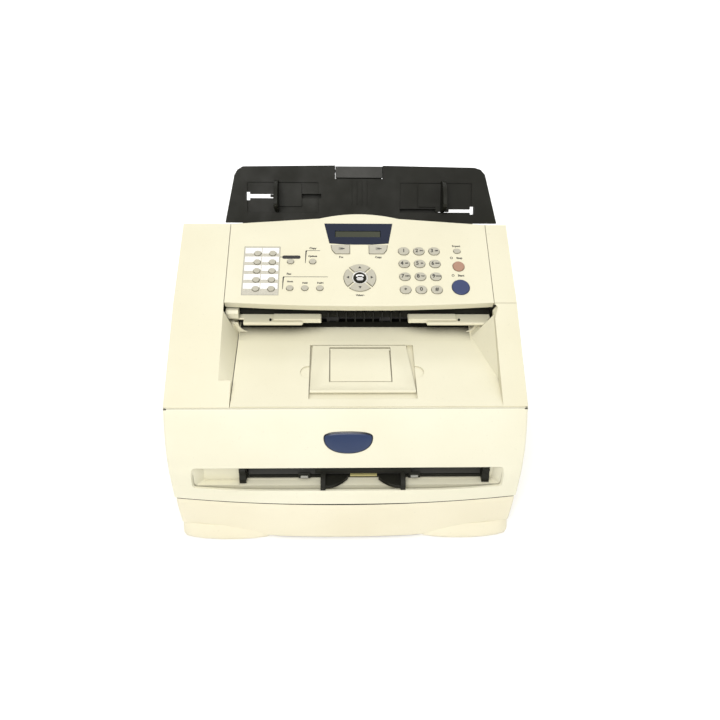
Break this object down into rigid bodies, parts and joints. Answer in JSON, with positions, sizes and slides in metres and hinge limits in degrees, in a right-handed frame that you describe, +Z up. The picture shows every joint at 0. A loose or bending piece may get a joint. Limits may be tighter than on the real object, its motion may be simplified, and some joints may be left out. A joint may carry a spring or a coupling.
{
  "type": "fax machine",
  "caption": "Desktop laser fax machine with a tilted control panel, a black document tray behind it, a page tray on top, a fold-down front cover and a pull-out paper cassette.",
  "frame": {"origin": "centre of the footprint, on the surface that the machine stands on", "axes": "+X to the right as seen from the front, +Y to the rear, +Z up"},
  "size_m": [0.374, 0.374, 0.3195],
  "materials": {
    "casing": "fine moulded texture",
    "cassette_casing": "fine moulded texture",
    "key_plastic": "satin",
    "dark_plastic": "fine moulded texture",
    "grey_plastic": "fine moulded texture",
    "badge": "polished",
    "blue_plastic": "satin",
    "start_blue": "satin",
    "stop_rose": "satin",
    "circuit_board": "solder mask",
    "frame_plastic": "glass-filled, matt",
    "bright_steel": "bare",
    "roller_rubber": "matt",
    "drum_coating": "polished"
  },
  "bodies": {
    "body": {"base_chassis": "frame_plastic", "left_side_cover": "casing", "right_side_cover": "casing", "top_cover": "casing", "rear_cover": "casing", "rear_sockets": "dark_plastic", "document_exit_plates": "casing", "scanner_frame": "dark_plastic", "document_tray": "dark_plastic", "drum_unit": "dark_plastic", "toner_cartridge": "dark_plastic", "laser_unit": "dark_plastic", "fuser_unit": "dark_plastic", "main_board": "circuit_board", "rubber_feet": "roller_rubber"},
    "cover": {"front_cover": "casing", "front_badge": "badge", "manual_feed_slot": "dark_plastic"},
    "cassette": {"cassette_tray": "dark_plastic", "cassette_front": "cassette_casing"},
    "panel": {"control_panel_cover": "casing", "panel_board": "circuit_board", "display_bezel": "blue_plastic"},
    "support_flap": {"support_flap": "casing"},
    "support_flap_inner": {"support_flap_inner": "casing"},
    "tray_extension": {"tray_extension": "grey_plastic"},
    "document_guide_left": {"document_guide_left": "dark_plastic"},
    "document_guide_right": {"document_guide_right": "dark_plastic"},
    "manual_guide_left": {"manual_guide_left": "dark_plastic"},
    "manual_guide_right": {"manual_guide_right": "dark_plastic"},
    "rear_door": {"rear_door": "casing"},
    "cassette_lift_plate": {"cassette_lift_plate": "bright_steel"},
    "power_rocker": {"power_rocker": "dark_plastic"},
    "drum_roller": {"drum_roller": "drum_coating"},
    "exit_roller": {"exit_roller": "roller_rubber"},
    "pickup_roller": {"pickup_roller": "roller_rubber"},
    "feed_roller": {"feed_roller": "roller_rubber"},
    "dial_key_1": {"dial_key_1": "key_plastic"},
    "dial_key_2": {"dial_key_2": "key_plastic"},
    "dial_key_3": {"dial_key_3": "key_plastic"},
    "dial_key_4": {"dial_key_4": "key_plastic"},
    "dial_key_5": {"dial_key_5": "key_plastic"},
    "dial_key_6": {"dial_key_6": "key_plastic"},
    "dial_key_7": {"dial_key_7": "key_plastic"},
    "dial_key_8": {"dial_key_8": "key_plastic"},
    "dial_key_9": {"dial_key_9": "key_plastic"},
    "dial_key_10": {"dial_key_10": "key_plastic"},
    "dial_key_11": {"dial_key_11": "key_plastic"},
    "dial_key_12": {"dial_key_12": "key_plastic"},
    "start_key": {"start_key": "start_blue"},
    "stop_key": {"stop_key": "stop_rose"},
    "report_key": {"report_key": "key_plastic"},
    "nav_centre_key": {"nav_centre_key": "dark_plastic"},
    "nav_up_key": {"nav_up_key": "key_plastic"},
    "nav_left_key": {"nav_left_key": "key_plastic"},
    "nav_down_key": {"nav_down_key": "key_plastic"},
    "nav_right_key": {"nav_right_key": "key_plastic"},
    "mode_key_left": {"mode_key_left": "key_plastic"},
    "mode_key_right": {"mode_key_right": "key_plastic"},
    "memory_keys": {"memory_keys": "key_plastic"}
  },
  "joints": [
    {"name": "front_cover_hinge", "type": "hinge", "parent": "body", "child": "cover", "pos_m": [0, -0.1825, 0.068], "axis": [1, 0, 0], "range_deg": [0, 90]},
    {"name": "cassette_slide", "type": "slide", "parent": "body", "child": "cassette", "axis": [0, -1, 0], "range_m": [0, 0.28]},
    {"name": "control_panel_hinge", "type": "hinge", "parent": "body", "child": "panel", "pos_m": [0, 0.048, 0.262], "axis": [-1, 0, 0], "range_deg": [0, 27]},
    {"name": "support_flap_hinge", "type": "hinge", "parent": "body", "child": "support_flap", "pos_m": [0, -0.12805, 0.17255], "axis": [1, 0, 0], "range_deg": [0, 150]},
    {"name": "inner_flap_hinge", "type": "hinge", "parent": "support_flap", "child": "support_flap_inner", "pos_m": [0, -0.07078, 0.18296], "axis": [-1, 0, 0], "range_deg": [0, 100]},
    {"name": "tray_extension_hinge", "type": "hinge", "parent": "body", "child": "tray_extension", "pos_m": [0, 0.10901, 0.31165], "axis": [1, 0, 0], "range_deg": [0, 170]},
    {"name": "document_guide_left_slide", "type": "slide", "parent": "body", "child": "document_guide_left", "axis": [1, 0, 0], "range_m": [-0.022, 0.018]},
    {"name": "document_guide_right_slide", "type": "slide", "parent": "body", "child": "document_guide_right", "axis": [1, 0, 0], "range_m": [-0.018, 0.022]},
    {"name": "manual_guide_left_slide", "type": "slide", "parent": "cover", "child": "manual_guide_left", "axis": [1, 0, 0], "range_m": [-0.08, 0.008]},
    {"name": "manual_guide_right_slide", "type": "slide", "parent": "cover", "child": "manual_guide_right", "axis": [1, 0, 0], "range_m": [-0.008, 0.08]},
    {"name": "rear_door_hinge", "type": "hinge", "parent": "body", "child": "rear_door", "pos_m": [0, 0.1855, 0.066], "axis": [-1, 0, 0], "range_deg": [0, 85]},
    {"name": "lift_plate_hinge", "type": "hinge", "parent": "cassette", "child": "cassette_lift_plate", "pos_m": [0, 0.13, 0.0125], "axis": [-1, 0, 0], "range_deg": [0, 8]},
    {"name": "power_rocker_tilt", "type": "hinge", "parent": "body", "child": "power_rocker", "pos_m": [0.145, 0.181, 0.067], "axis": [-1, 0, 0], "range_deg": [0, 8]},
    {"name": "drum_roller_spin", "type": "hinge", "parent": "body", "child": "drum_roller", "pos_m": [0, -0.052, 0.112], "axis": [1, 0, 0], "continuous": true},
    {"name": "exit_roller_spin", "type": "hinge", "parent": "body", "child": "exit_roller", "pos_m": [0, -0.0235, 0.1942], "axis": [1, 0, 0], "continuous": true},
    {"name": "pickup_roller_spin", "type": "hinge", "parent": "body", "child": "pickup_roller", "pos_m": [0, -0.112, 0.074], "axis": [1, 0, 0], "continuous": true},
    {"name": "feed_roller_spin", "type": "hinge", "parent": "body", "child": "feed_roller", "pos_m": [0, 0.038, 0.2415], "axis": [1, 0, 0], "continuous": true},
    {"name": "dial_key_1_press", "type": "slide", "parent": "panel", "child": "dial_key_1", "axis": [0, 0.3963, -0.9181], "range_m": [0, 0.0008], "stiffness_N_per_m": 400},
    {"name": "dial_key_2_press", "type": "slide", "parent": "panel", "child": "dial_key_2", "axis": [0, 0.3963, -0.9181], "range_m": [0, 0.0008], "stiffness_N_per_m": 400},
    {"name": "dial_key_3_press", "type": "slide", "parent": "panel", "child": "dial_key_3", "axis": [0, 0.3963, -0.9181], "range_m": [0, 0.0008], "stiffness_N_per_m": 400},
    {"name": "dial_key_4_press", "type": "slide", "parent": "panel", "child": "dial_key_4", "axis": [0, 0.3963, -0.9181], "range_m": [0, 0.0008], "stiffness_N_per_m": 400},
    {"name": "dial_key_5_press", "type": "slide", "parent": "panel", "child": "dial_key_5", "axis": [0, 0.3963, -0.9181], "range_m": [0, 0.0008], "stiffness_N_per_m": 400},
    {"name": "dial_key_6_press", "type": "slide", "parent": "panel", "child": "dial_key_6", "axis": [0, 0.3963, -0.9181], "range_m": [0, 0.0008], "stiffness_N_per_m": 400},
    {"name": "dial_key_7_press", "type": "slide", "parent": "panel", "child": "dial_key_7", "axis": [0, 0.3963, -0.9181], "range_m": [0, 0.0008], "stiffness_N_per_m": 400},
    {"name": "dial_key_8_press", "type": "slide", "parent": "panel", "child": "dial_key_8", "axis": [0, 0.3963, -0.9181], "range_m": [0, 0.0008], "stiffness_N_per_m": 400},
    {"name": "dial_key_9_press", "type": "slide", "parent": "panel", "child": "dial_key_9", "axis": [0, 0.3963, -0.9181], "range_m": [0, 0.0008], "stiffness_N_per_m": 400},
    {"name": "dial_key_10_press", "type": "slide", "parent": "panel", "child": "dial_key_10", "axis": [0, 0.3963, -0.9181], "range_m": [0, 0.0008], "stiffness_N_per_m": 400},
    {"name": "dial_key_11_press", "type": "slide", "parent": "panel", "child": "dial_key_11", "axis": [0, 0.3963, -0.9181], "range_m": [0, 0.0008], "stiffness_N_per_m": 400},
    {"name": "dial_key_12_press", "type": "slide", "parent": "panel", "child": "dial_key_12", "axis": [0, 0.3963, -0.9181], "range_m": [0, 0.0008], "stiffness_N_per_m": 400},
    {"name": "start_key_press", "type": "slide", "parent": "panel", "child": "start_key", "axis": [0, 0.3963, -0.9181], "range_m": [0, 0.0008], "stiffness_N_per_m": 400},
    {"name": "stop_key_press", "type": "slide", "parent": "panel", "child": "stop_key", "axis": [0, 0.3963, -0.9181], "range_m": [0, 0.0008], "stiffness_N_per_m": 400},
    {"name": "report_key_press", "type": "slide", "parent": "panel", "child": "report_key", "axis": [0, 0.3963, -0.9181], "range_m": [0, 0.0008], "stiffness_N_per_m": 400},
    {"name": "nav_centre_key_press", "type": "slide", "parent": "panel", "child": "nav_centre_key", "axis": [0, 0.3963, -0.9181], "range_m": [0, 0.0008], "stiffness_N_per_m": 400},
    {"name": "nav_up_key_press", "type": "slide", "parent": "panel", "child": "nav_up_key", "axis": [0, 0.3963, -0.9181], "range_m": [0, 0.0008], "stiffness_N_per_m": 400},
    {"name": "nav_left_key_press", "type": "slide", "parent": "panel", "child": "nav_left_key", "axis": [0, 0.3963, -0.9181], "range_m": [0, 0.0008], "stiffness_N_per_m": 400},
    {"name": "nav_down_key_press", "type": "slide", "parent": "panel", "child": "nav_down_key", "axis": [0, 0.3963, -0.9181], "range_m": [0, 0.0008], "stiffness_N_per_m": 400},
    {"name": "nav_right_key_press", "type": "slide", "parent": "panel", "child": "nav_right_key", "axis": [0, 0.3963, -0.9181], "range_m": [0, 0.0008], "stiffness_N_per_m": 400},
    {"name": "mode_key_left_press", "type": "slide", "parent": "panel", "child": "mode_key_left", "axis": [0, 0.3963, -0.9181], "range_m": [0, 0.0008], "stiffness_N_per_m": 400},
    {"name": "mode_key_right_press", "type": "slide", "parent": "panel", "child": "mode_key_right", "axis": [0, 0.3963, -0.9181], "range_m": [0, 0.0008], "stiffness_N_per_m": 400},
    {"name": "memory_keys_press", "type": "slide", "parent": "panel", "child": "memory_keys", "axis": [0, 0.3963, -0.9181], "range_m": [0, 0.0008], "stiffness_N_per_m": 400}
  ],
  "couplings": [
    {"joint": "document_guide_right_slide", "follows": "document_guide_left_slide", "ratio": -1},
    {"joint": "manual_guide_right_slide", "follows": "manual_guide_left_slide", "ratio": -1},
    {"joint": "exit_roller_spin", "follows": "drum_roller_spin", "ratio": 2.1818}
  ]
}
